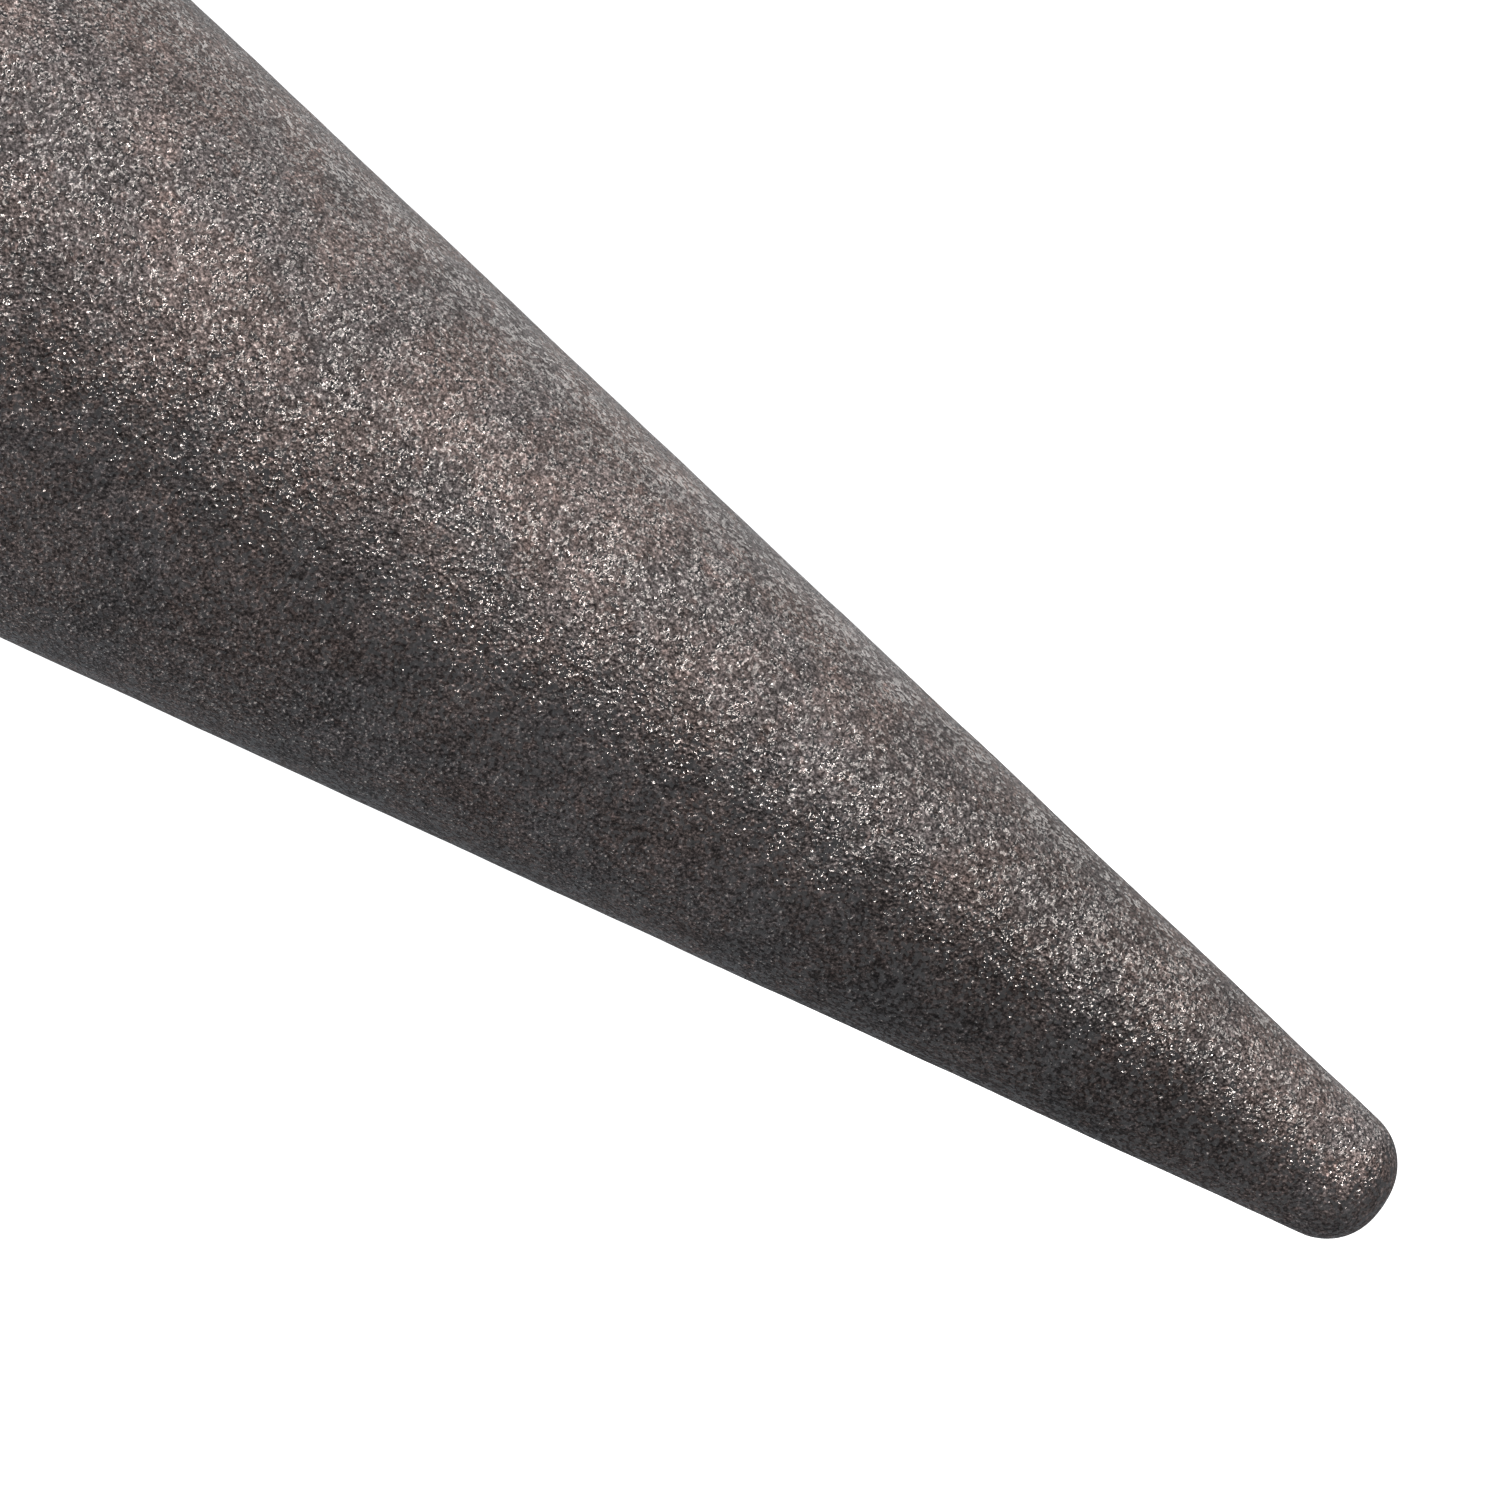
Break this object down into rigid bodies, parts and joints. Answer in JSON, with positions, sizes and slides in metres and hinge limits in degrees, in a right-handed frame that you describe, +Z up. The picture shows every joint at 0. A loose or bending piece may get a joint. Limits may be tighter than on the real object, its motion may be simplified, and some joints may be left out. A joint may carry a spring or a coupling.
{
  "type": "post anchor spike",
  "caption": "Drive-in post anchor: blunt forged conical point on a finned steel tube, ground plate, and a swivelling post shoe closed by a bolted clamp plate.",
  "frame": {"origin": "on the shaft's axis at the ground line, which is the underside of the ground plate", "axes": "+Z up along the shaft, away from the point; -Y towards the open front of the shoe, where the clamp plate is"},
  "size_m": [0.16, 0.16, 0.9012],
  "materials": {
    "forged_steel": "forged and shot-blasted, dark brown-grey scale with fine bright dimples",
    "blasted_plate_steel": "hot-rolled plate and tube, shot-blasted, dark grey",
    "zinc_plated_steel": "zinc plated, satin",
    "spring_steel": "plain, oil-blackened"
  },
  "bodies": {
    "anchor": {"drive_point": "forged_steel", "point_pin": "spring_steel", "shaft_tube": "blasted_plate_steel", "fin_right": "blasted_plate_steel", "fin_back": "blasted_plate_steel", "fin_left": "blasted_plate_steel", "fin_front": "blasted_plate_steel", "ground_plate": "blasted_plate_steel", "neck_rib_1": "blasted_plate_steel", "neck_rib_2": "blasted_plate_steel", "neck_rib_3": "blasted_plate_steel", "neck_rib_4": "blasted_plate_steel", "head_plate": "blasted_plate_steel", "pivot_nut": "spring_steel", "pivot_bolt": "zinc_plated_steel"},
    "shoe": {"shoe_base": "blasted_plate_steel", "shoe_shell": "blasted_plate_steel", "shoe_rib_right_back": "blasted_plate_steel", "shoe_rib_right_front": "blasted_plate_steel", "shoe_rib_left_back": "blasted_plate_steel", "shoe_rib_left_front": "blasted_plate_steel", "lock_bolts": "zinc_plated_steel", "lock_washers_upper": "zinc_plated_steel", "lock_washers_lower": "zinc_plated_steel", "lock_nuts": "zinc_plated_steel", "clamp_bolts": "zinc_plated_steel"},
    "clamp": {"clamp_plate": "blasted_plate_steel", "clamp_washers": "zinc_plated_steel", "clamp_nuts": "zinc_plated_steel"}
  },
  "joints": [
    {"name": "shoe_swivel", "type": "hinge", "parent": "anchor", "child": "shoe", "pos_m": [0, 0, 0.068], "axis": [0, 0, 1], "range_deg": [-20, 20]},
    {"name": "clamp_slide", "type": "slide", "parent": "shoe", "child": "clamp", "axis": [0, -1, 0], "range_m": [-0.003, 0.009]}
  ]
}
